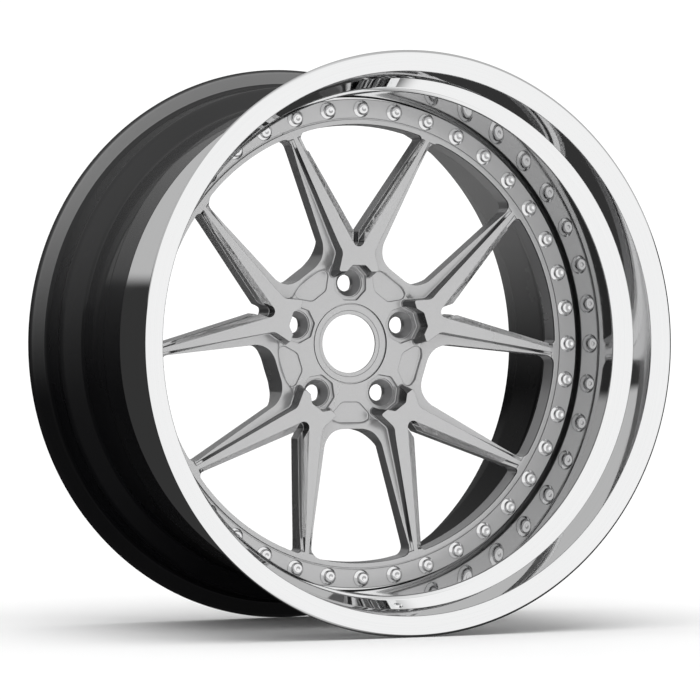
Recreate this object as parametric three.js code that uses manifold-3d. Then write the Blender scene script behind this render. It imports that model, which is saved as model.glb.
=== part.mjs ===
// Forged three-piece racing wheel: a stepped outer lip, an inner barrel and a ten-spoke centre disc,
// bolted together through one flange joint by forty perimeter bolts. Millimetres, +Z up.
// The wheel stands upright with its axis along Y and its front face toward -Y.
// The origin is on the axis, midway between the two outer flanges.
// "Forward" stations are distances in front of that centre plane, so forward = -Y.

import * as THREE from 'three';
import { mergeVertices } from 'three/addons/utils/BufferGeometryUtils.js';
import Module from 'manifold-3d';

const wasm = await Module();
wasm.setup();

// Rim: 19 inch drop-centre contour, about 10.5 inches between the bead faces.
const FLANGE_RADIUS = 261.2;
const HALF_WIDTH = 144.2;
const BEAD_RADIUS = 244.6;
const HUMP_RADIUS = 243.6;
const LIP_WALL_RADIUS = 227;
const SKIN = 3.5;
const WELL_END = 88;
const HUMP_CROWN = 107;
const BEAD_STATION = 131;
const FLANGE_INNER_STATION = 137;
const FLANGE_EDGE_START = 138.8;
const FLANGE_EDGE_END = 141.4;
const FLANGE_CHAMFER = 3;
const RIM_SEGMENTS = 60;
const DISC_SEGMENTS = 40;

// Inside of either rim half, as [radius, station] from the flange edge inward.
const DISH_STEPS = [[242.6, 137.6], [240, 125], [238.2, 111.3], [230.5, 96]];
const DISH_END = 93;
const BARREL_MOUTH = [[242, 141], [240, 133], [238.6, 112]];
const BARREL_WELL_STATION = 90;
const BARREL_NECK_STATION = 40;
const BARREL_NECK_END = 33;

// Flange joint: disc ring in front, lip flange behind it, barrel flange last.
const GAP = 0.3;
const BOLT_COUNT = 40;
const BOLT_CIRCLE_RADIUS = 215;
const RING_FRONT = 28;
const RING_BACK = 14.3;
const LIP_FLANGE_FRONT = RING_BACK - GAP;
const LIP_FLANGE_BACK = 8.6;
const BARREL_FLANGE_FRONT = LIP_FLANGE_BACK - GAP;
const BARREL_FLANGE_BACK = 2.5;
const FLANGE_BORE_RADIUS = 203;
const BOLT_HOLE_RADIUS = 4.7;

// Seal: a rubber ring lying in a groove of the barrel flange, outside the bolts.
const SEAL_INNER = 222.6;
const SEAL_OUTER = 225;
const SEAL_DEPTH = 2;

// Valve: one drilled hole through the cone of the lip, at the bottom of the wheel.
const VALVE_HOLE_RADIUS = 4.15;
const VALVE_STATION = 104;
const VALVE_RADIUS = 236.5;
const VALVE_TILT = Math.atan2(7.7, 15.3);

// Centre disc.
const DISC_RADIUS = 224;
const WINDOW_OUTER_RADIUS = 201;
const RING_STEP_RADIUS = 205.6;
const RING_STEP_FRONT = 29.5;
const HUB_FACE = 5;
const HUB_BACK = -22;
const HUB_RADIUS = 78.5;
const FORK_COUNT = 5;
const LUG_CIRCLE_RADIUS = 56;
const LUG_POCKET_APOTHEM = 16;
const LUG_SEAT_RADIUS = 13.3;
const LUG_HOLE_RADIUS = 7.7;
const LUG_RELIEF_RADIUS = 12;
const CENTRE_BORE_RADIUS = 36.55;
const CAP_LIP_RADIUS = 27;
const CROTCH_ROUND = 5;
const CROTCH_CENTRE = 94.6;

const TURN = 2 * Math.PI;
const FORK_ANGLES = Array.from({ length: FORK_COUNT }, (_, i) => TURN / 4 + (i * TURN) / FORK_COUNT);
const HALF_PITCH = Math.PI / FORK_COUNT;

// Turns a closed outline of [radius, forward] points about the wheel axis, with its faces pointing out.
function turned(outline, segments = RIM_SEGMENTS) {
  const points = outline.map(([radius, forward]) => new THREE.Vector2(radius, -forward));
  if (THREE.ShapeUtils.area(points) < 0) {
    points.reverse();
  }
  points.push(points[0].clone());
  return new THREE.LatheGeometry(points, segments);
}

// Extrudes an outline drawn in the wheel plane (x to the right, y up) from one station to another.
function prism(shape, back, front, curveSegments = 5) {
  const geometry = new THREE.ExtrudeGeometry(shape, {
    depth: front - back,
    bevelEnabled: false,
    curveSegments,
  });
  return geometry.translate(0, 0, back).rotateX(Math.PI / 2);
}

// Turns a geometry drawn on the +X side of the wheel to another angle, counted from +X toward +Z.
function turnTo(geometry, angle) {
  return geometry.clone().rotateY(-angle);
}

function solid(geometry) {
  const bare = geometry.clone();
  bare.deleteAttribute('normal');
  bare.deleteAttribute('uv');
  const welded = mergeVertices(bare, 1e-4);
  return new wasm.Manifold(
    new wasm.Mesh({
      numProp: 3,
      vertProperties: new Float32Array(welded.attributes.position.array),
      triVerts: new Uint32Array(welded.index.array),
    }),
  );
}

function geometryOf(manifold) {
  const mesh = manifold.getMesh();
  const geometry = new THREE.BufferGeometry();
  geometry.setAttribute('position', new THREE.BufferAttribute(new Float32Array(mesh.vertProperties), 3));
  geometry.setIndex(new THREE.BufferAttribute(new Uint32Array(mesh.triVerts), 1));
  geometry.computeVertexNormals();
  return geometry;
}

function cutAll(body, cutters) {
  return cutters.reduce((left, cutter) => left.subtract(cutter), body);
}

function polygonShape(sides, radius, x = 0, y = 0, startAngle = 0) {
  const corners = Array.from({ length: sides }, (_, i) => {
    const angle = startAngle + (i * TURN) / sides;
    return new THREE.Vector2(x + radius * Math.cos(angle), y + radius * Math.sin(angle));
  });
  return new THREE.Shape(corners);
}

function boltAngles() {
  return Array.from({ length: BOLT_COUNT }, (_, i) => (i * TURN) / BOLT_COUNT);
}

// The clearance holes that the disc ring and both rim flanges share.
function boltHoles(back, front) {
  const hole = prism(polygonShape(6, BOLT_HOLE_RADIUS, BOLT_CIRCLE_RADIUS), back, front);
  return boltAngles().map((angle) => solid(turnTo(hole, angle)));
}

// The tyre side of either rim half, from the drop well over hump and bead seat to the flange edge.
// Stations are distances from the centre plane, so the same contour serves both halves.
function tyreSide(wellRadius) {
  const humpDrop = 2;
  const humpRun = 3;
  const seatDrop = 1.4;
  const seatRun = 5;
  const fillet = 2.6;
  const filletRun = 3.6;
  const flangeDrop = 3.2;
  return [
    [wellRadius, WELL_END],
    [HUMP_RADIUS - humpDrop, HUMP_CROWN - humpRun],
    [HUMP_RADIUS, HUMP_CROWN],
    [HUMP_RADIUS - seatDrop, HUMP_CROWN + seatRun],
    [BEAD_RADIUS, BEAD_STATION],
    [BEAD_RADIUS + fillet, BEAD_STATION + filletRun],
    [FLANGE_RADIUS - flangeDrop, FLANGE_INNER_STATION],
    [FLANGE_RADIUS, FLANGE_EDGE_START],
    [FLANGE_RADIUS, FLANGE_EDGE_END],
    [FLANGE_RADIUS - FLANGE_CHAMFER, HALF_WIDTH],
  ];
}

// Outer lip: the polished front half of the rim. Its dish steps inward twice before the straight
// wall, and its flange is clamped behind the disc ring.
function outerLip() {
  const outline = [
    ...tyreSide(LIP_WALL_RADIUS + SKIN),
    ...DISH_STEPS,
    [LIP_WALL_RADIUS, DISH_END],
    [LIP_WALL_RADIUS, LIP_FLANGE_FRONT],
    [FLANGE_BORE_RADIUS, LIP_FLANGE_FRONT],
    [FLANGE_BORE_RADIUS, LIP_FLANGE_BACK],
    [LIP_WALL_RADIUS + SKIN, LIP_FLANGE_BACK],
  ];
  const drillLength = 30;
  const valveDrill = new THREE.CylinderGeometry(VALVE_HOLE_RADIUS, VALVE_HOLE_RADIUS, drillLength, 10)
    .rotateX(Math.PI / 2)
    .rotateX(VALVE_TILT)
    .translate(0, -VALVE_STATION, -VALVE_RADIUS);
  const holes = boltHoles(LIP_FLANGE_BACK - 2, LIP_FLANGE_FRONT + 2);
  return geometryOf(cutAll(solid(turned(outline)), [...holes, solid(valveDrill)]));
}

// Inner barrel: the black rear half of the rim, open at the back for the brake, with its own flange
// at the split and a groove for the seal.
function innerBarrel() {
  const wellRadius = LIP_WALL_RADIUS;
  const neckSlant = 2;
  const rear = [...tyreSide(wellRadius), ...BARREL_MOUTH].map(([radius, station]) => [radius, -station]);
  const outline = [
    ...rear,
    [wellRadius - SKIN, -BARREL_WELL_STATION],
    [wellRadius - SKIN, -BARREL_NECK_STATION],
    [LIP_WALL_RADIUS, -BARREL_NECK_END],
    [LIP_WALL_RADIUS, BARREL_FLANGE_BACK],
    [FLANGE_BORE_RADIUS, BARREL_FLANGE_BACK],
    [FLANGE_BORE_RADIUS, BARREL_FLANGE_FRONT],
    [LIP_WALL_RADIUS + SKIN, BARREL_FLANGE_FRONT],
    [LIP_WALL_RADIUS + SKIN, neckSlant - BARREL_NECK_END],
    [wellRadius, neckSlant - BARREL_NECK_STATION],
  ];
  const groove = turned([
    [SEAL_INNER - GAP, BARREL_FLANGE_FRONT - SEAL_DEPTH - GAP],
    [SEAL_OUTER + GAP, BARREL_FLANGE_FRONT - SEAL_DEPTH - GAP],
    [SEAL_OUTER + GAP, BARREL_FLANGE_FRONT + 1],
    [SEAL_INNER - GAP, BARREL_FLANGE_FRONT + 1],
  ]);
  const holes = boltHoles(BARREL_FLANGE_BACK - 2, BARREL_FLANGE_FRONT + 2);
  return geometryOf(cutAll(solid(turned(outline)), [...holes, solid(groove)]));
}

function rimSeal() {
  return turned([
    [SEAL_INNER, BARREL_FLANGE_FRONT - SEAL_DEPTH],
    [SEAL_OUTER, BARREL_FLANGE_FRONT - SEAL_DEPTH],
    [SEAL_OUTER, BARREL_FLANGE_FRONT],
    [SEAL_INNER, BARREL_FLANGE_FRONT],
  ]);
}

// Stations of the disc's four surfaces at their key radii.
const LEDGE_FRONT = [[72, HUB_FACE], [76, 8.5], [99, 11.5], [172, 22], [193, 26.5], [199, RING_STEP_FRONT]];
const SPOKE_BACK = [[202, 10.5], [185, 9], [99, -2], [82, -20], [78.5, HUB_BACK]];
const FACE_FRONT = [[58, 23.5], [97, 23.5], [193, 29.2], [203, RING_STEP_FRONT]];
const FACE_ROOT = [[203, 17], [185, 13], [99, 3], [58, 0]];

// The forging at ledge level: hub, web and mounting ring turned as one blank.
// The bore narrows behind the face to the lip that a centre cap would clip to.
function ledgeBlank() {
  const boreChamfer = 3.3;
  const outline = [
    [CENTRE_BORE_RADIUS, HUB_BACK + 8],
    [CENTRE_BORE_RADIUS, HUB_FACE - 14],
    [CAP_LIP_RADIUS + 4.5, HUB_FACE - 9],
    [CAP_LIP_RADIUS, HUB_FACE - 5],
    [CAP_LIP_RADIUS, HUB_FACE - 3],
    [CAP_LIP_RADIUS + 3.8, HUB_FACE - 2],
    [CAP_LIP_RADIUS + 9.2, HUB_FACE - 1],
    [CAP_LIP_RADIUS + 9.8, HUB_FACE],
    ...LEDGE_FRONT,
    [RING_STEP_RADIUS, RING_STEP_FRONT],
    [RING_STEP_RADIUS, RING_FRONT],
    [DISC_RADIUS, RING_FRONT],
    [DISC_RADIUS, RING_BACK],
    [202, RING_BACK],
    ...SPOKE_BACK,
    [CENTRE_BORE_RADIUS + boreChamfer, HUB_BACK],
  ];
  return solid(turned(outline, DISC_SEGMENTS));
}

// One Y fork's raised face, drawn with its axis along +x: root beside the lug, neck, two straight
// arms, and between them a crotch that ends in a small round.
function forkFace() {
  const root = 63;
  const shoulder = 66;
  const rootHalf = 20.5;
  const neck = 83.7;
  const neckHalf = 16;
  const tip = 193;
  const outerSlope = 0.52;
  const crotchSlope = 0.637;
  const outerTip = neckHalf + outerSlope * (tip - neck);
  const crotchTip = 5.4 + crotchSlope * (tip - 93.8);
  const shape = new THREE.Shape();
  shape.moveTo(root, -rootHalf);
  shape.lineTo(shoulder, -rootHalf);
  shape.lineTo(neck, -neckHalf);
  shape.lineTo(tip, -outerTip);
  shape.lineTo(tip, -crotchTip);
  shape.lineTo(CROTCH_CENTRE, -CROTCH_ROUND);
  shape.absarc(CROTCH_CENTRE, 0, CROTCH_ROUND, -Math.PI / 2, Math.PI / 2, true);
  shape.lineTo(tip, crotchTip);
  shape.lineTo(tip, outerTip);
  shape.lineTo(neck, neckHalf);
  shape.lineTo(shoulder, rootHalf);
  shape.lineTo(root, rootHalf);
  shape.closePath();
  return solid(prism(shape, HUB_BACK, RING_STEP_FRONT + 5));
}

// An opening between two forks, its axis along +x: a flat inner end beside the hub, straight sides
// and the mounting ring's bore outside, with every corner rounded.
function outerWindow() {
  const inner = HUB_RADIUS;
  const flatHalf = 13.5;
  const sideSlope = 0.206;
  const innerRound = 14;
  const sideEnd = 184;
  const cornerX = 194;
  const ringHalf = 42;
  const side = (x) => 27.5 + sideSlope * (x - inner);
  const corner = side(cornerX);
  const ringX = Math.sqrt(WINDOW_OUTER_RADIUS ** 2 - ringHalf ** 2);
  const shape = new THREE.Shape();
  shape.moveTo(inner, -flatHalf);
  shape.lineTo(inner, flatHalf);
  shape.quadraticCurveTo(inner, side(inner), inner + innerRound, side(inner + innerRound));
  shape.lineTo(sideEnd, side(sideEnd));
  shape.quadraticCurveTo(cornerX, corner, ringX, ringHalf);
  ringArc(shape, WINDOW_OUTER_RADIUS, ringHalf);
  shape.quadraticCurveTo(cornerX, -corner, sideEnd, -side(sideEnd));
  shape.lineTo(inner + innerRound, -side(inner + innerRound));
  shape.quadraticCurveTo(inner, -side(inner), inner, -flatHalf);
  return prism(shape, HUB_BACK - 5, RING_STEP_FRONT + 5, 4);
}

// Draws the arc of the given radius about the wheel axis from +halfHeight down to -halfHeight.
function ringArc(shape, radius, halfHeight) {
  const reach = Math.asin(halfHeight / radius);
  const steps = 8;
  for (let i = 1; i <= steps; i += 1) {
    const angle = reach * (1 - (2 * i) / steps);
    shape.lineTo(radius * Math.cos(angle), radius * Math.sin(angle));
  }
}

// The opening inside a fork, its axis along +x: a parallel slot that widens into a V.
function crotchWindow() {
  const round = CROTCH_ROUND;
  const slotEnd = 103.5;
  const sideSlope = 0.667;
  const sideEnd = 184;
  const cornerX = 190;
  const ringHalf = 55;
  const side = (x) => round + sideSlope * (x - slotEnd);
  const corner = side(cornerX);
  const ringX = Math.sqrt(WINDOW_OUTER_RADIUS ** 2 - ringHalf ** 2);
  const shape = new THREE.Shape();
  shape.moveTo(slotEnd, -round);
  shape.lineTo(CROTCH_CENTRE, -round);
  shape.absarc(CROTCH_CENTRE, 0, round, -Math.PI / 2, Math.PI / 2, true);
  shape.lineTo(slotEnd, round);
  shape.lineTo(sideEnd, side(sideEnd));
  shape.quadraticCurveTo(cornerX, corner, ringX, ringHalf);
  ringArc(shape, WINDOW_OUTER_RADIUS, ringHalf);
  shape.quadraticCurveTo(cornerX, -corner, sideEnd, -side(sideEnd));
  shape.lineTo(slotEnd, -round);
  return prism(shape, HUB_BACK - 5, RING_STEP_FRONT + 5, 4);
}

// A lug station: an eight-sided pocket for the socket, a 60 degree seat, the stud hole and the
// relief behind it.
function lugStation() {
  const floor = HUB_FACE - 3.5;
  const seatEnd = HUB_FACE - 12;
  const land = 3;
  const reliefStart = seatEnd - land - 1;
  const pocket = prism(
    polygonShape(8, LUG_POCKET_APOTHEM / Math.cos(TURN / 16), LUG_CIRCLE_RADIUS, 0, TURN / 16),
    floor,
    RING_STEP_FRONT + 5,
  );
  const bore = turned(
    [
      [0, floor + 1],
      [LUG_SEAT_RADIUS, floor + 1],
      [LUG_SEAT_RADIUS, floor],
      [LUG_HOLE_RADIUS, seatEnd],
      [LUG_HOLE_RADIUS, seatEnd - land],
      [LUG_RELIEF_RADIUS, reliefStart],
      [LUG_RELIEF_RADIUS, HUB_BACK - 1],
      [0, HUB_BACK - 1],
    ],
    14,
  ).translate(LUG_CIRCLE_RADIUS, 0, 0);
  return [pocket, bore];
}

// A shallow six-sided pocket between two lugs.
function hubPocket() {
  const depth = 2;
  const upperSide = [[53.5, 8.5], [64.5, 19.5], [70, 19], [73, 12]];
  const lowerSide = upperSide.map(([x, y]) => [x, -y]);
  const corners = [...lowerSide, ...upperSide.reverse()];
  const shape = new THREE.Shape(corners.map(([x, y]) => new THREE.Vector2(x, y)));
  return prism(shape, HUB_FACE - depth, RING_STEP_FRONT);
}

function centreDisc() {
  const faceBlank = solid(turned([...FACE_FRONT, ...FACE_ROOT], DISC_SEGMENTS));
  const forks = FORK_ANGLES.map((angle) => solid(turnTo(geometryOf(forkFace()), angle)));
  const body = forks.reduce((sum, fork) => sum.add(fork.intersect(faceBlank)), ledgeBlank());
  const atForks = [crotchWindow(), ...lugStation()];
  const betweenForks = [outerWindow(), hubPocket()];
  const cutters = FORK_ANGLES.flatMap((angle) => [
    ...atForks.map((cutter) => solid(turnTo(cutter, angle))),
    ...betweenForks.map((cutter) => solid(turnTo(cutter, angle + HALF_PITCH))),
  ]);
  return geometryOf(cutAll(body, [...cutters, ...boltHoles(RING_BACK - 2, RING_FRONT + 2)]));
}

// Assembly bolt, drawn on its own axis: domed head on its flange, shank through the joint, and the
// washer and nut behind the barrel flange.
function assemblyBolt() {
  const headBase = RING_FRONT + GAP;
  const nutFront = BARREL_FLANGE_BACK - GAP;
  const flange = 7.9;
  const flangeRise = 1.6;
  const head = 5.6;
  const headHeight = 6;
  const dome = 0.8;
  const shank = 4;
  const nut = 7;
  const nutDepth = 8;
  return turned(
    [
      [0, headBase + headHeight],
      [head - 0.7, headBase + headHeight - dome],
      [head, headBase + flangeRise],
      [flange, headBase],
      [shank, headBase],
      [shank, nutFront],
      [nut, nutFront],
      [nut, nutFront - nutDepth],
      [0, nutFront - nutDepth],
    ],
    6,
  );
}

const polished = new THREE.MeshStandardMaterial({ color: 0xd8d9da, roughness: 0.08, metalness: 1 });
const gloss = new THREE.MeshStandardMaterial({ color: 0x101112, roughness: 0.22, metalness: 0.1 });
const satin = new THREE.MeshStandardMaterial({ color: 0xa9aaab, roughness: 0.42, metalness: 0.9 });
const plated = new THREE.MeshStandardMaterial({ color: 0xcfd0d2, roughness: 0.15, metalness: 1 });
const rubber = new THREE.MeshStandardMaterial({ color: 0x161616, roughness: 0.8, metalness: 0 });

const wheel = new THREE.Group();

function fit(name, geometry, material) {
  const mesh = new THREE.Mesh(geometry, material);
  mesh.name = name;
  wheel.add(mesh);
  return mesh;
}

fit('outer_lip', outerLip(), polished);
fit('inner_barrel', innerBarrel(), gloss);
fit('centre_disc', centreDisc(), satin);
fit('rim_seal', rimSeal(), rubber);

const bolt = assemblyBolt();
boltAngles().forEach((angle, i) => {
  const mesh = fit(`assembly_bolt_${String(i + 1).padStart(2, '0')}`, bolt, plated);
  mesh.position.set(BOLT_CIRCLE_RADIUS * Math.cos(angle), 0, BOLT_CIRCLE_RADIUS * Math.sin(angle));
});

export default wheel;
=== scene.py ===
import math

import bmesh
import bpy
from mathutils import Matrix, Vector


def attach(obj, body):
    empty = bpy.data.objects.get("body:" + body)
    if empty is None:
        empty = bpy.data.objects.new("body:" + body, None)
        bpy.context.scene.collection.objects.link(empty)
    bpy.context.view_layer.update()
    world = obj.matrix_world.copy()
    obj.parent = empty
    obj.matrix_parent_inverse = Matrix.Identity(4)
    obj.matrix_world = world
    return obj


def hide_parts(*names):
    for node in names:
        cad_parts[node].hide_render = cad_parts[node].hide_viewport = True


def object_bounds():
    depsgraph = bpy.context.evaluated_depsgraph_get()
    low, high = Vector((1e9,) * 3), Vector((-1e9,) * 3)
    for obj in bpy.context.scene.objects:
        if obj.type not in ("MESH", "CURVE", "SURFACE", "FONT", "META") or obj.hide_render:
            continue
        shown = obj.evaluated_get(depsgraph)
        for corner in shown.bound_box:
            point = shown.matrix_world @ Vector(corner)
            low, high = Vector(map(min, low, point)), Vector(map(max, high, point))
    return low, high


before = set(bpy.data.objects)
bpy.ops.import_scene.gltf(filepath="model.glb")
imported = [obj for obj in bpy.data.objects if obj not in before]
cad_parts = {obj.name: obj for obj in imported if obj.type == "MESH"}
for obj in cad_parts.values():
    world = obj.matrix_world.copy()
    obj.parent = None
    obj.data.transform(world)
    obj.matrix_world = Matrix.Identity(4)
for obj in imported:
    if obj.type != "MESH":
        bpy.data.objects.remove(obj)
cad_low, cad_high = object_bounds()

# Studio. The wheel stands upright on a pale floor and is seen from its front left, level with
# the axle. A white room lights it, with a wide soft light overhead. Polished metal sees a bright
# room in front and a dim one behind, darkest near the ground, which gives it its dark bands.
camera = bpy.data.objects.new("camera", bpy.data.cameras.new("camera"))
camera.location = (-1.5385, -3.2247, 0.0)
camera.rotation_euler = (math.radians(90), 0, math.radians(-25.54))
camera.data.lens = 199.236
camera.data.sensor_width = 36
camera.data.shift_x = -0.00064
camera.data.shift_y = -0.00914
bpy.context.scene.collection.objects.link(camera)
bpy.context.scene.camera = camera
bpy.context.scene.view_settings.view_transform = "Standard"

FLOOR_HALF = 9
FLOOR_GAP = 0.0002
PAPER_WHITE = 0.96
floor_shape = bmesh.new()
bmesh.ops.create_grid(floor_shape, x_segments=1, y_segments=1, size=FLOOR_HALF)
bmesh.ops.translate(floor_shape, verts=floor_shape.verts, vec=(0, 0, cad_low.z - FLOOR_GAP))
floor = bpy.data.objects.new("floor", bpy.data.meshes.new("floor"))
floor_shape.to_mesh(floor.data)
floor_shape.free()
bpy.context.scene.collection.objects.link(floor)
floor.visible_glossy = False
paper = bpy.data.materials.new("white paper")
paper.use_nodes = True
matte = paper.node_tree.nodes["Principled BSDF"]
matte.inputs["Base Color"].default_value = (PAPER_WHITE, PAPER_WHITE, PAPER_WHITE, 1)
matte.inputs["Roughness"].default_value = 1
matte.inputs["Specular IOR Level"].default_value = 0
floor.data.materials.append(paper)


def wire(tree, source, target):
    """Joins an output socket to an input socket."""
    tree.links.new(source, target)


def measured(tree, operation, *values):
    """A Math node; each value is a number or the output of another node."""
    node = tree.nodes.new("ShaderNodeMath")
    node.operation = operation
    for socket, value in zip(node.inputs, values):
        if isinstance(value, (int, float)):
            socket.default_value = value
        else:
            wire(tree, value, socket)
    return node.outputs[0]


def fade(tree, value, low, high):
    """Rises smoothly from 0 to 1 as the value goes from low to high."""
    node = tree.nodes.new("ShaderNodeMapRange")
    node.interpolation_type = "SMOOTHSTEP"
    wire(tree, value, node.inputs["Value"])
    node.inputs["From Min"].default_value = low
    node.inputs["From Max"].default_value = high
    return node.outputs["Result"]


FRONT_STRENGTH = 0.97
BACK_STRENGTH = 0.46
GROUND_STRENGTH = 0.035
ROOM_STRENGTH = 0.66
BACKDROP_EXTRA = 0.44
room = bpy.data.worlds.new("studio")
bpy.context.scene.world = room
room.use_nodes = True
sky = room.node_tree
sky.nodes.clear()
looking = sky.nodes.new("ShaderNodeTexCoord")
parts = sky.nodes.new("ShaderNodeSeparateXYZ")
wire(sky, looking.outputs["Generated"], parts.inputs[0])
in_front = measured(sky, "SUBTRACT", 1.0, fade(sky, parts.outputs["Y"], -0.3, -0.02))
above_horizon = fade(sky, parts.outputs["Z"], 0.17, 0.22)
behind = measured(sky, "ADD", measured(sky, "MULTIPLY", above_horizon, BACK_STRENGTH), GROUND_STRENGTH)
from_front = measured(sky, "MULTIPLY", in_front, measured(sky, "SUBTRACT", FRONT_STRENGTH, behind))
seen_in_metal = measured(sky, "ADD", behind, from_front)
rays = sky.nodes.new("ShaderNodeLightPath")
metal_room = sky.nodes.new("ShaderNodeBackground")
metal_room.inputs["Color"].default_value = (1, 1, 1, 1)
wire(sky, seen_in_metal, metal_room.inputs["Strength"])
plain_room = sky.nodes.new("ShaderNodeBackground")
plain_room.inputs["Color"].default_value = (1, 1, 1, 1)
seen_plainly = measured(sky, "MULTIPLY", rays.outputs["Is Camera Ray"], BACKDROP_EXTRA)
wire(sky, measured(sky, "ADD", seen_plainly, ROOM_STRENGTH), plain_room.inputs["Strength"])
either = sky.nodes.new("ShaderNodeMixShader")
wire(sky, rays.outputs["Is Glossy Ray"], either.inputs[0])
wire(sky, plain_room.outputs[0], either.inputs[1])
wire(sky, metal_room.outputs[0], either.inputs[2])
sky_end = sky.nodes.new("ShaderNodeOutputWorld")
wire(sky, either.outputs[0], sky_end.inputs["Surface"])

overhead = bpy.data.objects.new("overhead panel", bpy.data.lights.new("overhead panel", "SUN"))
overhead.data.energy = 1.45
overhead.data.angle = math.radians(55)
overhead.rotation_euler = Vector((0.12, 0.22, -1.0)).to_track_quat("-Z", "Y").to_euler()
overhead.visible_glossy = False
bpy.context.scene.collection.objects.link(overhead)


# Outer lip. The front half of the rim is spun from aluminium sheet, turned to its stepped dish
# and polished bright. Its flange is clamped behind the disc ring and carries the valve hole.
MM = 0.001
WHEEL_TURN = 2 * math.pi
LIP_WALL = 227.0
RIM_SKIN = 3.5
RIM_STEPS = 288
BOLT_COUNT = 40
BOLT_CIRCLE = 215.0
BOLT_HOLE = 4.7


def turned(outline, steps=RIM_STEPS):
    """Spins a closed outline of (radius, forward, corner length) about the axle."""
    shape = bmesh.new()
    corners = [shape.verts.new((point[0] * MM, -point[1] * MM, 0)) for point in outline]
    shape.faces.new(corners)
    for corner, point in zip(corners, outline):
        if len(point) > 2:
            bmesh.ops.bevel(
                shape, geom=[corner], offset=point[2] * MM, affect="VERTICES",
                segments=3, profile=0.5, material=-1,
            )
    bmesh.ops.delete(shape, geom=shape.faces[:], context="FACES_ONLY")
    bmesh.ops.spin(
        shape, geom=shape.verts[:] + shape.edges[:], cent=(0, 0, 0), axis=(0, 1, 0),
        angle=WHEEL_TURN, steps=steps, use_merge=True,
    )
    bmesh.ops.remove_doubles(shape, verts=shape.verts, dist=1e-6)
    bmesh.ops.recalc_face_normals(shape, faces=shape.faces)
    return shape


def made(name, shape):
    """Puts a finished shape in the scene as an object at the origin."""
    thing = bpy.data.objects.new(name, bpy.data.meshes.new(name))
    shape.to_mesh(thing.data)
    shape.free()
    bpy.context.scene.collection.objects.link(thing)
    return thing


def worked(body, operation, *shapes):
    """Joins shapes to a body, or cuts them out of it, one after the other."""
    for shape in shapes:
        tool = made("tool", shape)
        step = body.modifiers.new("step", "BOOLEAN")
        step.object = tool
        step.operation = operation
        step.solver = "MANIFOLD"
        graph = bpy.context.evaluated_depsgraph_get()
        mesh = bpy.data.meshes.new_from_object(body.evaluated_get(graph))
        body.modifiers.clear()
        body.data = mesh
        bpy.data.objects.remove(tool)
    return body


def fitted(thing, material, slot, *nodes, crease=38):
    """Smooths a piece up to its creases, gives it its finish and fixes it to the wheel."""
    shape = bmesh.new()
    shape.from_mesh(thing.data)
    bmesh.ops.dissolve_limit(
        shape, angle_limit=math.radians(0.1), verts=shape.verts, edges=shape.edges, delimit=set(),
    )
    for face in shape.faces:
        face.smooth = True
    for edge in shape.edges:
        edge.smooth = edge.calc_face_angle(0) < math.radians(crease)
    shape.to_mesh(thing.data)
    shape.free()
    thing.data.name = thing.name
    thing.data.materials.clear()
    thing.data.materials.append(material)
    evened = thing.modifiers.new("evened", "WEIGHTED_NORMAL")
    evened.keep_sharp = True
    evened.weight = 60
    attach(thing, "root")
    if nodes:
        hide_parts(*nodes)


def bolt_holes(radius, back, front, sides=20):
    """Forty plain drills on the bolt circle, standing between two stations."""
    drill = bmesh.new()
    bmesh.ops.create_cone(
        drill, cap_ends=True, segments=sides, radius1=radius * MM, radius2=radius * MM,
        depth=(front - back) * MM,
    )
    along_axle = Matrix.Rotation(math.radians(90), 3, "X")
    bmesh.ops.rotate(drill, verts=drill.verts, cent=(0, 0, 0), matrix=along_axle)
    bmesh.ops.translate(drill, verts=drill.verts, vec=(BOLT_CIRCLE * MM, -(front + back) / 2 * MM, 0))
    bmesh.ops.spin(
        drill, geom=drill.verts[:] + drill.edges[:] + drill.faces[:], cent=(0, 0, 0), axis=(0, 1, 0),
        angle=WHEEL_TURN * (BOLT_COUNT - 1) / BOLT_COUNT, steps=BOLT_COUNT - 1, use_duplicate=True,
    )
    bmesh.ops.recalc_face_normals(drill, faces=drill.faces)
    return drill


def effect(name, inputs, outputs):
    """A shared node group with its named inputs and outputs."""
    group = bpy.data.node_groups.new(name, "ShaderNodeTree")
    for title, kind, start in inputs:
        socket = group.interface.new_socket(title, in_out="INPUT", socket_type=kind)
        socket.default_value = start
    for title, kind in outputs:
        group.interface.new_socket(title, in_out="OUTPUT", socket_type=kind)
    return group, group.nodes.new("NodeGroupInput"), group.nodes.new("NodeGroupOutput")


def from_axle(tree, split):
    """The distance from the axle, from a position's separate X and Z."""
    sideways = measured(tree, "MULTIPLY", split.outputs["X"], split.outputs["X"])
    upward = measured(tree, "MULTIPLY", split.outputs["Z"], split.outputs["Z"])
    return measured(tree, "SQRT", measured(tree, "ADD", sideways, upward))


# Fine rings left by turning and by the polishing wheel, closed circles about the axle.
RING_WANDER = 9.0
turning, turning_in, turning_out = effect(
    "turning rings",
    [("Rings per Metre", "NodeSocketFloat", 900.0), ("Depth", "NodeSocketFloat", 0.05)],
    [("Mask", "NodeSocketFloat"), ("Normal", "NodeSocketVector")],
)
place = turning.nodes.new("ShaderNodeTexCoord")
across = turning.nodes.new("ShaderNodeSeparateXYZ")
wire(turning, place.outputs["Object"], across.inputs[0])
ring_place = turning.nodes.new("ShaderNodeCombineXYZ")
rings_per_metre = turning_in.outputs["Rings per Metre"]
outward_rings = measured(turning, "MULTIPLY", from_axle(turning, across), rings_per_metre)
forward_rings = measured(turning, "MULTIPLY", across.outputs["Y"], rings_per_metre)
wire(turning, outward_rings, ring_place.inputs["X"])
wire(turning, forward_rings, ring_place.inputs["Y"])
wire(turning, measured(turning, "MULTIPLY", across.outputs["X"], RING_WANDER), ring_place.inputs["Z"])
ring_noise = turning.nodes.new("ShaderNodeTexNoise")
ring_noise.inputs["Scale"].default_value = 1.0
ring_noise.inputs["Detail"].default_value = 3.0
wire(turning, ring_place.outputs[0], ring_noise.inputs["Vector"])
ring_bump = turning.nodes.new("ShaderNodeBump")
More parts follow.
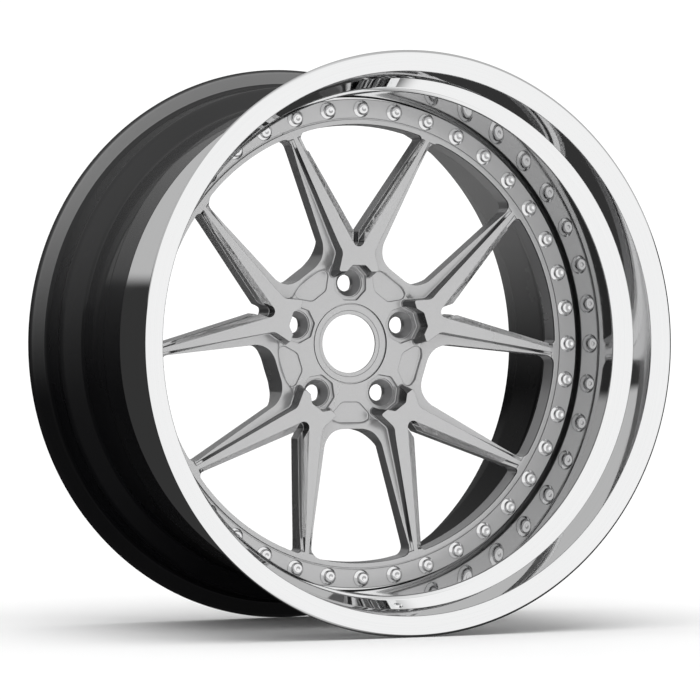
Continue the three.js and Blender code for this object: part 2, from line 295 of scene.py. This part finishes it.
ring_bump.inputs["Distance"].default_value = 0.0001
wire(turning, turning_in.outputs["Depth"], ring_bump.inputs["Strength"])
wire(turning, ring_noise.outputs["Fac"], ring_bump.inputs["Height"])
wire(turning, ring_noise.outputs["Fac"], turning_out.inputs["Mask"])
wire(turning, ring_bump.outputs["Normal"], turning_out.inputs["Normal"])

# Cloudy marks of handling: a wide soft pattern that dulls the gloss a little.
handling, handling_in, handling_out = effect(
    "handling marks",
    [("Size", "NodeSocketFloat", 14.0)],
    [("Mask", "NodeSocketFloat")],
)
handled_at = handling.nodes.new("ShaderNodeTexCoord")
cloud = handling.nodes.new("ShaderNodeTexNoise")
cloud.inputs["Detail"].default_value = 5.0
cloud.inputs["Roughness"].default_value = 0.6
wire(handling, handled_at.outputs["Object"], cloud.inputs["Vector"])
wire(handling, handling_in.outputs["Size"], cloud.inputs["Scale"])
wire(handling, fade(handling, cloud.outputs["Fac"], 0.42, 0.72), handling_out.inputs["Mask"])


def placed(tree, group, **values):
    """Places a shared effect in a material with its own values."""
    node = tree.nodes.new("ShaderNodeGroup")
    node.node_tree = group
    for title, value in values.items():
        node.inputs[title.replace("_", " ")].default_value = value
    return node


def shaded(tree, mask, first, second):
    """A colour that goes from the first to the second as the mask goes from 0 to 1."""
    mix = tree.nodes.new("ShaderNodeMix")
    mix.data_type = "RGBA"
    mix.inputs["A"].default_value = (*first, 1)
    mix.inputs["B"].default_value = (*second, 1)
    wire(tree, mask, mix.inputs["Factor"])
    return mix.outputs["Result"]


def ranged(tree, mask, low, high):
    """A number that goes from low to high as the mask goes from 0 to 1."""
    return measured(tree, "ADD", measured(tree, "MULTIPLY", mask, high - low), low)


def blended(tree, way, first, second):
    """Two colours multiplied or added together."""
    mix = tree.nodes.new("ShaderNodeMix")
    mix.data_type = "RGBA"
    mix.blend_type = way
    mix.inputs["Factor"].default_value = 1.0
    wire(tree, first, mix.inputs["A"])
    wire(tree, second, mix.inputs["B"])
    return mix.outputs["Result"]


def inward(tree, place):
    """How far a surface faces the axle: above 0 outside the rim, below 0 inside it."""
    dot = tree.nodes.new("ShaderNodeVectorMath")
    dot.operation = "DOT_PRODUCT"
    wire(tree, place.outputs["Normal"], dot.inputs[0])
    wire(tree, place.outputs["Object"], dot.inputs[1])
    return dot.outputs["Value"]


# The straight wall's colour is darkened with painted shade, and the step's band was buffed with its edge
# leaning forward.
LIP_WALL_SHADE = 0.6
STEP_LEAN = 0.72
polish = bpy.data.materials.new("mirror polished aluminium")
polish.use_nodes = True
tree = polish.node_tree
metal = tree.nodes["Principled BSDF"]
metal.inputs["Metallic"].default_value = 1.0
rings = placed(tree, turning, **{"Rings_per_Metre": 1400.0, "Depth": 0.03})
marks = placed(tree, handling, Size=11.0)
on_lip = tree.nodes.new("ShaderNodeTexCoord")
lip_place = tree.nodes.new("ShaderNodeSeparateXYZ")
wire(tree, on_lip.outputs["Object"], lip_place.inputs[0])
dish = fade(tree, inward(tree, on_lip), 0.0, -0.05)
straight_wall = measured(tree, "MULTIPLY", dish, fade(tree, lip_place.outputs["Y"], -0.094, -0.0925))
step = measured(
    tree, "MULTIPLY", fade(tree, lip_place.outputs["Y"], -0.0955, -0.0965),
    fade(tree, lip_place.outputs["Y"], -0.1118, -0.1108),
)
step = measured(tree, "MULTIPLY", dish, step)
mirror = shaded(tree, rings.outputs["Mask"], (0.86, 0.865, 0.87), (0.93, 0.93, 0.93))
# Painted shade: the straight wall inside the lip is multiplied darker.
painted_wall_shade = shaded(tree, straight_wall, (1, 1, 1), (LIP_WALL_SHADE, LIP_WALL_SHADE, LIP_WALL_SHADE))
wire(tree, blended(tree, "MULTIPLY", mirror, painted_wall_shade), metal.inputs["Base Color"])
wire(tree, ranged(tree, marks.outputs["Mask"], 0.035, 0.075), metal.inputs["Roughness"])
buffed_forward = tree.nodes.new("ShaderNodeCombineXYZ")
lean = measured(tree, "MULTIPLY", step, fade(tree, lip_place.outputs["X"], -0.06, 0.04))
wire(tree, measured(tree, "MULTIPLY", lean, -STEP_LEAN), buffed_forward.inputs["Y"])
leaning = tree.nodes.new("ShaderNodeVectorMath")
leaning.operation = "ADD"
wire(tree, rings.outputs["Normal"], leaning.inputs[0])
wire(tree, buffed_forward.outputs[0], leaning.inputs[1])
buffed = tree.nodes.new("ShaderNodeVectorMath")
buffed.operation = "NORMALIZE"
wire(tree, leaning.outputs[0], buffed.inputs[0])
wire(tree, buffed.outputs[0], metal.inputs["Normal"])

lip = made("outer_rim_lip", turned([
    (LIP_WALL + RIM_SKIN, 88, 1.5), (241.6, 104, 2.0), (243.6, 107, 1.2), (242.2, 112, 2.0),
    (244.6, 131, 1.5), (247.2, 134.6, 1.2), (258.0, 137, 1.0), (261.2, 138.8, 0.8),
    (261.2, 141.4, 0.8), (258.2, 144.2, 1.0), (242.6, 137.6, 0.9), (240.0, 125), (238.2, 111.3, 0.8),
    (230.5, 96, 1.0), (LIP_WALL, 93, 1.2), (LIP_WALL, 14, 1.0), (203, 14, 0.4), (203, 8.6, 0.4),
    (LIP_WALL + RIM_SKIN, 8.6, 0.6),
]))
VALVE_RADIUS = 4.15
VALVE_FORWARD = 104
VALVE_DOWN = 236.5
VALVE_TILT = math.atan2(7.7, 15.3)
at_valve = Matrix.Translation((0, -VALVE_FORWARD * MM, -VALVE_DOWN * MM))
valve_drill = bmesh.new()
bmesh.ops.create_cone(
    valve_drill, cap_ends=True, segments=40, radius1=VALVE_RADIUS * MM, radius2=VALVE_RADIUS * MM,
    depth=30 * MM, matrix=at_valve @ Matrix.Rotation(VALVE_TILT, 4, "X"),
)
worked(lip, "DIFFERENCE", bolt_holes(BOLT_HOLE, 6, 16), valve_drill)
fitted(lip, polish, "lip", "outer_lip")


# Inner barrel. The rear half of the rim is spun aluminium too, painted gloss black inside and
# out. Its own flange closes the joint behind the lip's, and a groove there holds the seal.
# Painted light: the black paint is made lighter towards the top, most of all inside the barrel.
TOP_LIGHT_TONE = 0.26
GLOSS_LOST_INSIDE = 0.93
gloss = bpy.data.materials.new("gloss black paint")
gloss.use_nodes = True
tree = gloss.node_tree
paint = tree.nodes["Principled BSDF"]
paint.inputs["Coat Roughness"].default_value = 0.03
paint.inputs["Specular IOR Level"].default_value = 0.04
paint.inputs["Coat IOR"].default_value = 1.5
marks = placed(tree, handling, Size=6.0)
rings = placed(tree, turning, **{"Rings_per_Metre": 260.0, "Depth": 0.04})
on_barrel = tree.nodes.new("ShaderNodeTexCoord")
barrel_place = tree.nodes.new("ShaderNodeSeparateXYZ")
wire(tree, on_barrel.outputs["Object"], barrel_place.inputs[0])
inside = fade(tree, inward(tree, on_barrel), 0.02, -0.02)
lofty = fade(tree, barrel_place.outputs["Z"], -0.06, 0.17)
black = shaded(tree, marks.outputs["Mask"], (0.003, 0.003, 0.0035), (0.005, 0.005, 0.0055))
# Painted light added to the paint colour, growing with height and strongest on the inside faces.
painted_top_light = measured(tree, "MULTIPLY", ranged(tree, inside, 0.12, 1.0), lofty)
painted_top_light_colour = shaded(tree, painted_top_light, (0, 0, 0), (TOP_LIGHT_TONE, TOP_LIGHT_TONE, TOP_LIGHT_TONE))
wire(tree, blended(tree, "ADD", black, painted_top_light_colour), paint.inputs["Base Color"])
wire(tree, ranged(tree, marks.outputs["Mask"], 0.22, 0.34), paint.inputs["Roughness"])
clear = ranged(tree, fade(tree, barrel_place.outputs["Z"], -0.08, 0.1), 0.05, 0.42)
rear_edge = fade(tree, barrel_place.outputs["Y"], 0.128, 0.137)
clear = measured(tree, "MULTIPLY", clear, ranged(tree, rear_edge, 1.0, 0.3))
outside = measured(tree, "SUBTRACT", 1.0, measured(tree, "MULTIPLY", inside, GLOSS_LOST_INSIDE))
wire(tree, measured(tree, "MULTIPLY", clear, outside), paint.inputs["Coat Weight"])
wire(tree, rings.outputs["Normal"], paint.inputs["Normal"])

barrel = made("inner_rim_barrel", turned([
    (227, -88, 3.0), (241.6, -104, 2.0), (243.6, -107, 1.2), (242.2, -112, 2.0), (244.6, -131, 1.5),
    (247.2, -134.6, 1.2), (258.0, -137, 1.0), (261.2, -138.8, 0.8), (261.2, -141.4, 0.8),
    (258.2, -144.2, 1.0), (242, -141, 1.0), (240, -133), (238.6, -112, 2.0), (223.5, -90, 3.0),
    (223.5, -40, 2.0), (227, -33, 2.0), (227, 2.5, 1.0), (203, 2.5, 0.4), (203, 8.3, 0.4),
    (222.3, 8.3, 0.2), (222.3, 6.0, 0.2), (225.3, 6.0, 0.2), (225.3, 8.3, 0.2), (230.5, 8.3, 0.6),
    (230.5, -31, 2.0), (227, -38, 2.0),
]))
worked(barrel, "DIFFERENCE", bolt_holes(BOLT_HOLE, 0, 12))
fitted(barrel, gloss, "barrel", "inner_barrel")


# Centre disc. One aluminium forging, milled all over and fine-blasted to a satin silver: a hub
# with five lug pockets, five forked spokes with stepped sides, and the ring the bolts go through.
LEDGE_STATIONS = (
    (0, 5), (72, 5), (76, 8.5), (99, 11.5), (172, 22), (193, 26.5), (196.6, 27.4), (197.8, 28.4),
    (198.5, 29.3), (199.4, 29.5), (240, 29.5),
)
FACE_STATIONS = ((0, 24), (72, 24), (94, 22.9), (185, 29.35), (240, 29.35))
BACK_STATIONS = (
    (0, -22), (78.5, -22), (82, -20), (99, -2), (185, 9), (202, 10.5), (202.1, 14.3), (240, 14.3),
)
DISC_STEPS = 240
RING_END = 198.9
RING_FACE = 204.2
WINDOW_END = 201.0
ON_FORK = math.radians(90)
BETWEEN_FORKS = math.radians(90 + 36)


def station(table, reach):
    """Reads a surface's forward station at a distance out, by straight lines between key points."""
    for (near, low), (far, high) in zip(table, table[1:]):
        if reach <= far:
            return low + (high - low) * (reach - near) / (far - near)
    return table[-1][1]


def quarter_round(radius, inward=1.0):
    """Offsets and drops of a rounded edge, from the wall to the flat above it."""
    return [
        (-inward * radius * (1 - math.cos(turn)), -radius * (1 - math.sin(turn)))
        for turn in (math.radians(22.5 * step) for step in range(5))
    ]


def walled(outline, levels, stripes=(), length=3.0):
    """A closed solid whose walls follow an outline of (x, y, corner length) from level to level.

    Each level is (offset, station), where either may be a rule: the offset from a point and its
    outward direction, the station from a point. Both caps are filled flat and then raised to
    their levels, and stripes cut the last one across x."""
    shape = bmesh.new()
    corners = [shape.verts.new((x, y, 0)) for x, y, _ in outline]
    cap = shape.faces.new(corners)
    cap.normal_update()
    if cap.normal.z < 0:
        cap.normal_flip()
    for corner, (_, _, easing) in zip(corners, outline):
        if easing:
            bmesh.ops.bevel(
                shape, geom=[corner], offset=easing, affect="VERTICES", segments=6, profile=0.5, material=-1,
            )
    for edge in shape.edges[:]:
        pieces = int(edge.calc_length() / length)
        if pieces > 0:
            bmesh.ops.subdivide_edges(shape, edges=[edge], cuts=pieces)
    cap = shape.faces[:][0]
    loop = list(cap.verts)
    plan = [vert.co.copy() for vert in loop]
    outward = []
    for before, here, after in zip(plan[-1:] + plan[:-1], plan, plan[1:] + plan[:1]):
        first = (here - before).normalized()
        second = (after - here).normalized()
        middle = Vector((first.y + second.y, -first.x - second.x, 0)).normalized()
        outward.append(middle / max(0.5, middle.dot(Vector((first.y, -first.x, 0)))))
    bmesh.ops.delete(shape, geom=[cap], context="FACES_ONLY")
    loops = []
    for number, (offset, height) in enumerate(levels):
        if number:
            grown = bmesh.ops.extrude_edge_only(shape, edges=ring)
            fresh = {v for v in grown["geom"] if isinstance(v, bmesh.types.BMVert)}
            edges = [e for e in grown["geom"] if isinstance(e, bmesh.types.BMEdge)]
            ring = [e for e in edges if set(e.verts) <= fresh]
            loop = [next(e.other_vert(v) for e in v.link_edges if e.other_vert(v) in fresh) for v in loop]
        else:
            ring = shape.edges[:]
        loops.append(loop)
        for vert, point, away in zip(loop, plan, outward):
            moved = point + away * (offset(point, away) if callable(offset) else offset)
            moved.z = height(moved) if callable(height) else height
            vert.co = moved
    for vert in loops[0] + loops[-1]:
        vert.co.z = 0
    caps = [shape.faces.new(loops[0]), shape.faces.new(loops[-1])]
    filled = bmesh.ops.triangulate(shape, faces=caps)
    lid = [f for f in filled["faces"] if set(f.verts) <= set(loops[-1])]
    for stripe in stripes:
        parts = lid + list({e for f in lid for e in f.edges}) + list({v for f in lid for v in f.verts})
        cut = bmesh.ops.bisect_plane(
            shape, geom=parts, dist=1e-5, plane_co=(stripe, 0, 0), plane_no=(1, 0, 0),
        )
        lid = [f for f in cut["geom"] if isinstance(f, bmesh.types.BMFace)]
    lid_verts = {v for f in lid for v in f.verts}
    for verts, (_, height) in ((set(loops[0]), levels[0]), (lid_verts, levels[-1])):
        for vert in verts:
            vert.co.z = height(vert.co) if callable(height) else height
    bmesh.ops.recalc_face_normals(shape, faces=shape.faces)
    return shape


def standing(shape, angle, copies=5):
    """Stands a plan on the wheel: x outward, y across, height forward; then repeats it round the axle."""
    upright = Matrix.Rotation(-angle, 3, "Y") @ Matrix.Rotation(math.radians(90), 3, "X")
    bmesh.ops.scale(shape, verts=shape.verts, vec=(MM, MM, MM))
    bmesh.ops.rotate(shape, verts=shape.verts, cent=(0, 0, 0), matrix=upright)
    bmesh.ops.spin(
        shape, geom=shape.verts[:] + shape.edges[:] + shape.faces[:], cent=(0, 0, 0), axis=(0, 1, 0),
        angle=WHEEL_TURN * (copies - 1) / copies, steps=copies - 1, use_duplicate=True,
    )
    bmesh.ops.recalc_face_normals(shape, faces=shape.faces)
    return shape


def ledge(rise=0.0):
    """The rule for a height above the stepped ledges."""
    return lambda point: station(LEDGE_STATIONS, math.hypot(point.x, point.y)) + rise


def face(rise=0.0):
    """The rule for a height above the spokes' front face."""
    return lambda point: station(FACE_STATIONS, point.x) + rise


def back(rise=0.0):
    """The rule for a height above the disc's rear face."""
    return lambda point: station(BACK_STATIONS, math.hypot(point.x, point.y)) + rise


def mirrored(half):
    """Completes an outline whose axis is x from its upper half."""
    return half + [(x, -y, easing) for x, y, easing in reversed(half)]


def on_ring(radius, angle, easing=0.0):
    """A point of an outline at a radius and an angle in degrees."""
    return radius * math.cos(math.radians(angle)), radius * math.sin(math.radians(angle)), easing


def meeting(start, slope, level, radius):
    """Where the line through (start, level) with that slope meets a circle about the axle."""
    a = 1 + slope * slope
    b = slope * (level - slope * start)
    c = (level - slope * start) ** 2 - radius * radius
    x = (-b + math.sqrt(b * b - a * c)) / a
    return x, level + slope * (x - start)


# The raised face of one fork, from its root beside the lug to both ends on the ring.
crotch_x, crotch_y = meeting(93.8, 0.637, 5.4, RING_END)
edge_x, edge_y = meeting(83.7, 0.52, 16.0, RING_END)
crotch_angle = math.degrees(math.atan2(crotch_y, crotch_x))
edge_angle = math.degrees(math.atan2(edge_y, edge_x))
fork_half = [
    (89.6, 2.72, 2.7), (crotch_x, crotch_y, 1.6), on_ring(RING_END, crotch_angle - 1.6),
    on_ring(RING_FACE, crotch_angle - 1.6), on_ring(RING_FACE, edge_angle + 1.6),
    on_ring(RING_END, edge_angle + 1.6),
    (edge_x, edge_y, 1.6), (83.7, 16.0, 3.0), (66.0, 20.5, 2.5),
]


STEEP_DRAFT = 0.5
OUTER_DRAFT = 0.7
ROOT_DRAFT = 4.5


def fork_draft(point, away):
    """How far the fork's wall leans out on its way down: most at the root, least in the crotch."""
    reach = math.hypot(point.x, point.y)
    in_crotch = away.y * point.y < 0 and point.x > 86
    at_crotch_root = 80 < point.x < 97 and abs(point.y) < 6
    if reach > 197.5 or in_crotch or at_crotch_root:
        return STEEP_DRAFT
    toward_ring = min(1.0, max(0.0, (reach - 140) / 50))
    root = ROOT_DRAFT * max(0.0, -away.x) ** 2 if point.x < 75 else 0.0
    return OUTER_DRAFT + toward_ring + root


def foot(rise):
    """The rule for a height above the ledge that stays under the face where the two run together."""
    return lambda point: min(ledge(rise)(point), face(-1.2)(point))


COVE = 1.3
cove = [
    (COVE * (1 - math.sin(turn)), COVE * (1 - math.cos(turn)))
    for turn in (math.radians(18 * i) for i in range(6))
]
fork_levels = [(0.0, foot(-2.6)), (lambda p, n: fork_draft(p, n) + COVE, foot(-2.4))]
fork_levels += [(lambda p, n, out=out: fork_draft(p, n) + out, foot(up - 0.02)) for out, up in cove]
fork_levels += [(out, face(down)) for out, down in quarter_round(0.55)]
fork_breaks = [reach for reach, _ in FACE_STATIONS[1:-1]]
fork = standing(walled(mirrored(fork_half), fork_levels, stripes=fork_breaks), ON_FORK)

# Blank of the forging, turned to ledge level, with the centre bore and the mounting ring.
disc = made("forged_centre_disc", turned([
    (36.55, -14, 0.4), (36.55, -9, 0.4), (31.5, -4), (27, 0, 0.5), (27, 2, 0.4), (30.3, 2.5),
    (30.8, 3.1, 0.2), (36.1, 4.1, 0.2), (36.3, 3.0), (37.0, 3.0), (37.3, 5.0, 0.2),
    *LEDGE_STATIONS[1:-1], (205.2, 29.5, 0.25), (205.4, 27.0, 0.1), (206.6, 27.0, 0.1),
    (206.8, 28.0, 0.1), (224, 28, 0.9), (224, 14.3, 0.5), (202, 14.3, 0.3), (202, 10.5, 0.5),
    (185, 9), (99, -2, 3.0), (82, -20, 1.5), (78.5, -22, 1.5), (39.85, -22, 0.5),
], DISC_STEPS))
worked(disc, "UNION", fork)

# Openings between the forks and inside them, rounded over at both faces.
opening_levels = [(-0.1, back(-30)), (-0.1, back(-0.02))]
opening_levels += [(-0.6 - out, back(-down)) for out, down in reversed(quarter_round(0.5))]
opening_levels += [(-out, ledge(down)) for out, down in quarter_round(0.45)]
opening_levels += [(0.47, ledge(0.02)), (0.47, ledge(30))]
side_x, side_y = meeting(78.5, 0.206, 27.5, WINDOW_END)
side_angle = math.degrees(math.atan2(side_y, side_x))
window_half = [(78.5, 15.0, 6.0), (86.0, 27.6, 9.0), (side_x, side_y, 9.0)]
window_half += [on_ring(WINDOW_END, side_angle * part) for part in (0.62, 0.5, 0.38, 0.26, 0.14, 0.04)]
window = standing(walled(mirrored(window_half), opening_levels), BETWEEN_FORKS)
v_x, v_y = meeting(103.5, 0.667, 5.0, WINDOW_END)
v_angle = math.degrees(math.atan2(v_y, v_x))
v_half = [(89.6, 5.0, 4.9), (103.5, 5.0, 1.0), (v_x, v_y, 5.5)]
v_half += [on_ring(WINDOW_END, v_angle * part) for part in (0.78, 0.65, 0.52, 0.39, 0.26, 0.13, 0.04)]
crotch = standing(walled(mirrored(v_half), opening_levels), ON_FORK)

# Lug stations: an eight-sided socket pocket, the cone seat, the stud hole and its relief.
LUG_REACH = 56
POCKET_HALF = 16
STUD_HOLE = 7.7


def around_lug(radius, sides, start, easing):
    """A many-sided outline about a lug's axis; start is the first corner, in parts of a side."""
    turns = [2 * math.pi / sides * (side + start) for side in range(sides)]
    return [(LUG_REACH + radius * math.cos(turn), radius * math.sin(turn), easing) for turn in turns]


pocket_outline = around_lug(POCKET_HALF / math.cos(math.pi / 8), 8, 0.5, 1.2)
pocket_levels = [(-1.0, 1.5), (-0.5, 1.6), (-0.12, 1.95), (0.0, 2.6)]
pocket_levels += [(-out, 5.0 + down) for out, down in quarter_round(0.4)] + [(0.4, 5.4), (0.0, 5.6)]
pocket_levels += [(-out, 24.0 + down) for out, down in quarter_round(0.45)] + [(0.45, 34.0)]
pocket = standing(walled(pocket_outline, pocket_levels), ON_FORK)
seat_outline = around_lug(STUD_HOLE, 40, 0, 0)
seat_levels = [(4.3, -30.0), (4.3, -11.6), (3.9, -11.2), (0.0, -10.8), (0.0, -7.3), (0.2, -6.8)]
seat_levels += [(4.6, 0.1), (4.75, 0.25), (5.5, 0.25), (5.6, 0.4), (5.6, 1.3), (5.8, 1.52), (5.8, 3.0)]
seat = standing(walled(seat_outline, seat_levels), ON_FORK)

# Shallow lightening pockets on the hub, one between each pair of lugs.
pad_half = [(73.0, 12.0, 2.4), (70.0, 19.0, 2.4), (64.5, 19.5, 2.4), (53.5, 8.5, 2.6)]
pad_levels = [(-1.5, 3.0), (-0.9, 3.08), (-0.35, 3.4), (0.0, 4.0)]
pad_levels += [(-out, ledge(down)) for out, down in quarter_round(0.35)] + [(0.36, ledge(8))]
pad = standing(walled(mirrored(pad_half), pad_levels), BETWEEN_FORKS)
worked(disc, "DIFFERENCE", window, crotch, pocket, seat, pad, bolt_holes(BOLT_HOLE, 8, 34))

# Satin finish: fine blasting grain, with painted shade making walls darker than the flats, most of all above
# the ledges; walls facing down get a lighter painted shade.
grain, grain_in, grain_out = effect(
    "fine grain",
    [("Grains per Metre", "NodeSocketFloat", 1500.0), ("Depth", "NodeSocketFloat", 0.1)],
    [("Mask", "NodeSocketFloat"), ("Normal", "NodeSocketVector")],
)
grain_at = grain.nodes.new("ShaderNodeTexCoord")
speckle = grain.nodes.new("ShaderNodeTexNoise")
speckle.inputs["Detail"].default_value = 4.0
speckle.inputs["Roughness"].default_value = 0.65
wire(grain, grain_at.outputs["Object"], speckle.inputs["Vector"])
wire(grain, grain_in.outputs["Grains per Metre"], speckle.inputs["Scale"])
grain_bump = grain.nodes.new("ShaderNodeBump")
grain_bump.inputs["Distance"].default_value = 0.0002
wire(grain, grain_in.outputs["Depth"], grain_bump.inputs["Strength"])
wire(grain, speckle.outputs["Fac"], grain_bump.inputs["Height"])
wire(grain, speckle.outputs["Fac"], grain_out.inputs["Mask"])
wire(grain, grain_bump.outputs["Normal"], grain_out.inputs["Normal"])

LEDGE_SLOPE = 0.1445
DISC_WALL_SHADE = (0.46, 0.46, 0.465)
UNDERSIDE_WALL_SHADE = (0.85, 0.85, 0.85)
FACE_WALL_SHADE = (0.13, 0.13, 0.133)
satin = bpy.data.materials.new("satin silver")
satin.use_nodes = True
tree = satin.node_tree
metal = tree.nodes["Principled BSDF"]
fine = placed(tree, grain, **{"Grains_per_Metre": 1500.0, "Depth": 0.06})
marks = placed(tree, handling, Size=9.0)
blasted = shaded(tree, fine.outputs["Mask"], (0.53, 0.53, 0.535), (0.66, 0.66, 0.66))
on_disc = tree.nodes.new("ShaderNodeTexCoord")
facing = tree.nodes.new("ShaderNodeSeparateXYZ")
wire(tree, on_disc.outputs["Normal"], facing.inputs[0])
disc_place = tree.nodes.new("ShaderNodeSeparateXYZ")
wire(tree, on_disc.outputs["Object"], disc_place.inputs[0])
ledge_rise = measured(tree, "MULTIPLY", from_axle(tree, disc_place), LEDGE_SLOPE)
above_ledge = fade(tree, measured(tree, "ADD", disc_place.outputs["Y"], ledge_rise), 0.0022, 0.0014)
# Painted shade: walls are multiplied darker than the flats by how far they turn from the axle, darkest above
# the ledges and lighter where they face down.
faces_along = measured(tree, "MULTIPLY", facing.outputs["Y"], facing.outputs["Y"])
flatness = fade(tree, faces_along, 0.14, 0.7)
underside = fade(tree, facing.outputs["Z"], -0.35, -0.8)
wall_shade_by_facing = shaded(tree, underside, DISC_WALL_SHADE, UNDERSIDE_WALL_SHADE)
walls = tree.nodes.new("ShaderNodeMix")
walls.data_type = "RGBA"
walls.inputs["B"].default_value = (*FACE_WALL_SHADE, 1)
wire(tree, above_ledge, walls.inputs["Factor"])
wire(tree, wall_shade_by_facing, walls.inputs["A"])
shade_on_walls = tree.nodes.new("ShaderNodeMix")
shade_on_walls.data_type = "RGBA"
shade_on_walls.inputs["B"].default_value = (1, 1, 1, 1)
wire(tree, flatness, shade_on_walls.inputs["Factor"])
wire(tree, walls.outputs["Result"], shade_on_walls.inputs["A"])
wire(tree, ranged(tree, flatness, 0.45, 0.62), metal.inputs["Metallic"])
wire(tree, blended(tree, "MULTIPLY", blasted, shade_on_walls.outputs["Result"]), metal.inputs["Base Color"])
wire(tree, ranged(tree, marks.outputs["Mask"], 0.22, 0.29), metal.inputs["Roughness"])
wire(tree, fine.outputs["Normal"], metal.inputs["Normal"])
fitted(disc, satin, "disc", "centre_disc")


# Rim seal. A round bead of black sealant lies in the barrel flange's groove and is pressed flat
# by the lip when the bolts are drawn up.
sealant = bpy.data.materials.new("black sealant")
sealant.use_nodes = True
tree = sealant.node_tree
rubber = tree.nodes["Principled BSDF"]
lumps = placed(tree, grain, **{"Grains_per_Metre": 700.0, "Depth": 0.4})
soot = shaded(tree, lumps.outputs["Mask"], (0.008, 0.008, 0.008), (0.02, 0.02, 0.02))
wire(tree, soot, rubber.inputs["Base Color"])
wire(tree, ranged(tree, lumps.outputs["Mask"], 0.5, 0.75), rubber.inputs["Roughness"])
wire(tree, lumps.outputs["Normal"], rubber.inputs["Normal"])
seal = made("rim_sealant_bead", turned([
    (222.6, 6.3, 0.8), (225.0, 6.3, 0.8), (225.0, 8.3, 0.5), (222.6, 8.3, 0.5),
], 180))
fitted(seal, sealant, "seal", "rim_seal")


# Assembly bolts. Forty chromed steel bolts with domed, dimpled heads on a round flange go in
# from the front. Each has a plain washer and a six-sided nut behind the barrel flange.
def plated(name, grains, depth, dark, bright, smooth, rough):
    """A plated steel whose fine grain varies its colour and its roughness."""
    finish = bpy.data.materials.new(name)
    finish.use_nodes = True
    tree = finish.node_tree
    metal = tree.nodes["Principled BSDF"]
    metal.inputs["Metallic"].default_value = 1.0
    fine = placed(tree, grain, **{"Grains_per_Metre": grains, "Depth": depth})
    wire(tree, shaded(tree, fine.outputs["Mask"], dark, bright), metal.inputs["Base Color"])
    wire(tree, ranged(tree, fine.outputs["Mask"], smooth, rough), metal.inputs["Roughness"])
    wire(tree, fine.outputs["Normal"], metal.inputs["Normal"])
    return finish


chrome = plated("chromed steel", 2600.0, 0.03, (0.80, 0.80, 0.81), (0.90, 0.90, 0.90), 0.05, 0.14)
zinc = plated("zinc plated steel", 1400.0, 0.12, (0.42, 0.43, 0.45), (0.60, 0.61, 0.62), 0.22, 0.36)

BOLT_SEAT = 28.3
BOLT_END = -5.8
NUT_FRONT = 0.7
NUT_HEIGHT = 5.7
NUT_CORNER = 7.0
NUT_BEVEL = 0.6


def turned_on_bolt(outline, steps=28):
    """Spins an outline of (radius, forward) about a bolt's own axis, out on the bolt circle."""
    shape = bmesh.new()
    verts = [shape.verts.new((radius * MM, -forward * MM, 0)) for radius, forward in outline]
    for first, second in zip(verts, verts[1:]):
        shape.edges.new((first, second))
    bmesh.ops.spin(
        shape, geom=shape.verts[:] + shape.edges[:], cent=(0, 0, 0), axis=(0, 1, 0),
        angle=WHEEL_TURN, steps=steps, use_merge=True,
    )
    bmesh.ops.remove_doubles(shape, verts=shape.verts, dist=1e-6)
    bmesh.ops.recalc_face_normals(shape, faces=shape.faces)
    bmesh.ops.translate(shape, verts=shape.verts, vec=(BOLT_CIRCLE * MM, 0, 0))
    return shape


head_rises = [
    (0, 4.9), (1.1, 4.95), (1.7, 5.5), (2.2, 5.95), (3.0, 6.0), (4.0, 5.75), (4.8, 5.2), (5.3, 4.3),
    (5.45, 3.2), (5.5, 2.2), (5.7, 1.9), (6.1, 1.75), (7.7, 0.35), (7.85, 0.15), (7.8, 0), (4.0, 0),
]
head_outline = [(radius, BOLT_SEAT + rise) for radius, rise in head_rises]
head_outline += [(4.0, BOLT_END + 0.8), (3.3, BOLT_END), (0, BOLT_END)]
washer_outline = [(4.2, 2.2), (7.6, 2.2), (7.8, 2.0), (7.8, 1.0), (7.6, 0.8), (4.2, 0.8), (4.2, 2.2)]
nut_shape = bmesh.new()
bmesh.ops.create_cone(
    nut_shape, cap_ends=True, segments=6, radius1=NUT_CORNER * MM, radius2=NUT_CORNER * MM,
    depth=NUT_HEIGHT * MM,
)
bmesh.ops.bevel(
    nut_shape, geom=[e for e in nut_shape.edges if abs(e.verts[0].co.z - e.verts[1].co.z) < 1e-6],
    offset=NUT_BEVEL * MM, affect="EDGES", segments=2, profile=0.5, material=-1,
)
along_axle = Matrix.Rotation(math.radians(90), 3, "X")
nut_middle = NUT_FRONT - NUT_HEIGHT / 2
bmesh.ops.rotate(nut_shape, verts=nut_shape.verts, cent=(0, 0, 0), matrix=along_axle)
bmesh.ops.translate(nut_shape, verts=nut_shape.verts, vec=(BOLT_CIRCLE * MM, -nut_middle * MM, 0))
masters = (
    ("assembly_bolt", turned_on_bolt(head_outline), chrome),
    ("plain_washer", turned_on_bolt(washer_outline), zinc),
    ("hex_nut", nut_shape, zinc),
)
for kind, shape, plating in masters:
    pattern = bpy.data.meshes.new(kind)
    shape.to_mesh(pattern)
    shape.free()
    for number in range(BOLT_COUNT):
        turned_to = -WHEEL_TURN * number / BOLT_COUNT
        thing = bpy.data.objects.new(f"{kind}_piece_{number + 1:02d}", pattern.copy())
        thing.data.transform(Matrix.Rotation(turned_to, 4, "Y"))
        bpy.context.scene.collection.objects.link(thing)
        stands_for = [f"assembly_bolt_{number + 1:02d}"] if kind == "assembly_bolt" else []
        fitted(thing, plating, "hardware", *stands_for, crease=50)
    bpy.data.meshes.remove(pattern)
